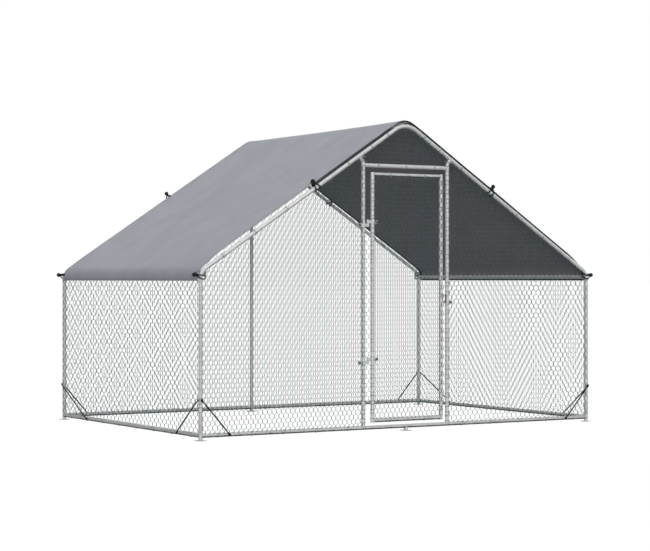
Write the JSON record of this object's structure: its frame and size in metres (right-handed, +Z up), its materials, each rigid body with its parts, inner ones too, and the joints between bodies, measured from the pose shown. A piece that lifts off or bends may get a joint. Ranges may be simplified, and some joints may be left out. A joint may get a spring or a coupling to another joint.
{
  "type": "walk-in poultry run",
  "caption": "Walk-in poultry run: plugged steel tube frame with a pitched cloth roof, hexagonal wire netting and a hinged net door with a drop latch.",
  "frame": {"origin": "on the ground, at the middle of the plan", "axes": "+X across the gable front, to the right seen from the door side; the door faces -Y; +Z up"},
  "size_m": [3.0884, 2.0988, 1.9829],
  "materials": {
    "galvanised_tube": "galvanised, satin",
    "wire_netting": "galvanised wire",
    "zinc_hardware": "zinc plated",
    "dark_hardware": "dark coated",
    "black_strap": "black coated",
    "silver_cloth": "silver coated weave",
    "black_elastic": "woven sleeve",
    "black_plastic": "gloss"
  },
  "bodies": {
    "coop": {"bottom_rail_left": "galvanised_tube", "bottom_rail_right": "galvanised_tube", "eave_rail_left": "galvanised_tube", "eave_rail_right": "galvanised_tube", "ridge_pole": "galvanised_tube", "back_post": "galvanised_tube", "door_header": "galvanised_tube", "door_post_left": "galvanised_tube", "door_post_right": "galvanised_tube", "bottom_rail_front_left": "galvanised_tube", "corner_post_front_left": "galvanised_tube", "rafter_front_left": "galvanised_tube", "bottom_rail_front_right": "galvanised_tube", "corner_post_front_right": "galvanised_tube", "rafter_front_right": "galvanised_tube", "bottom_rail_back_left": "galvanised_tube", "corner_post_back_left": "galvanised_tube", "rafter_back_left": "galvanised_tube", "bottom_rail_back_right": "galvanised_tube", "corner_post_back_right": "galvanised_tube", "rafter_back_right": "galvanised_tube", "middle_feet": "galvanised_tube", "ridge_elbows": "galvanised_tube", "door_post_heads": "galvanised_tube", "base_corners_left": "galvanised_tube", "eave_elbows_left": "galvanised_tube", "base_corners_right": "galvanised_tube", "eave_elbows_right": "galvanised_tube", "net_left": "wire_netting", "net_right": "wire_netting", "net_back": "wire_netting", "net_front_left": "wire_netting", "net_front_right": "wire_netting", "net_front_gable": "wire_netting", "hinge_pins": "zinc_hardware", "latch_clamp": "zinc_hardware", "corner_braces": "black_strap", "roof_cover": "silver_cloth", "tie_loops": "black_elastic", "tie_balls": "black_plastic"},
    "door": {"door_stile_left": "galvanised_tube", "door_stile_right": "galvanised_tube", "door_rail_bottom": "galvanised_tube", "door_rail_top": "galvanised_tube", "net_door": "wire_netting", "hinge_eyes": "zinc_hardware"},
    "latch": {"latch_fork": "dark_hardware"}
  },
  "joints": [
    {"name": "door_swing", "type": "hinge", "parent": "coop", "child": "door", "pos_m": [-0.29, -1.012, 0.85], "axis": [0, 0, -1], "range_deg": [0, 110]},
    {"name": "latch_drop", "type": "hinge", "parent": "coop", "child": "latch", "pos_m": [0.301, -1.012, 0.823], "axis": [0, -1, 0], "range_deg": [0, 90]}
  ]
}
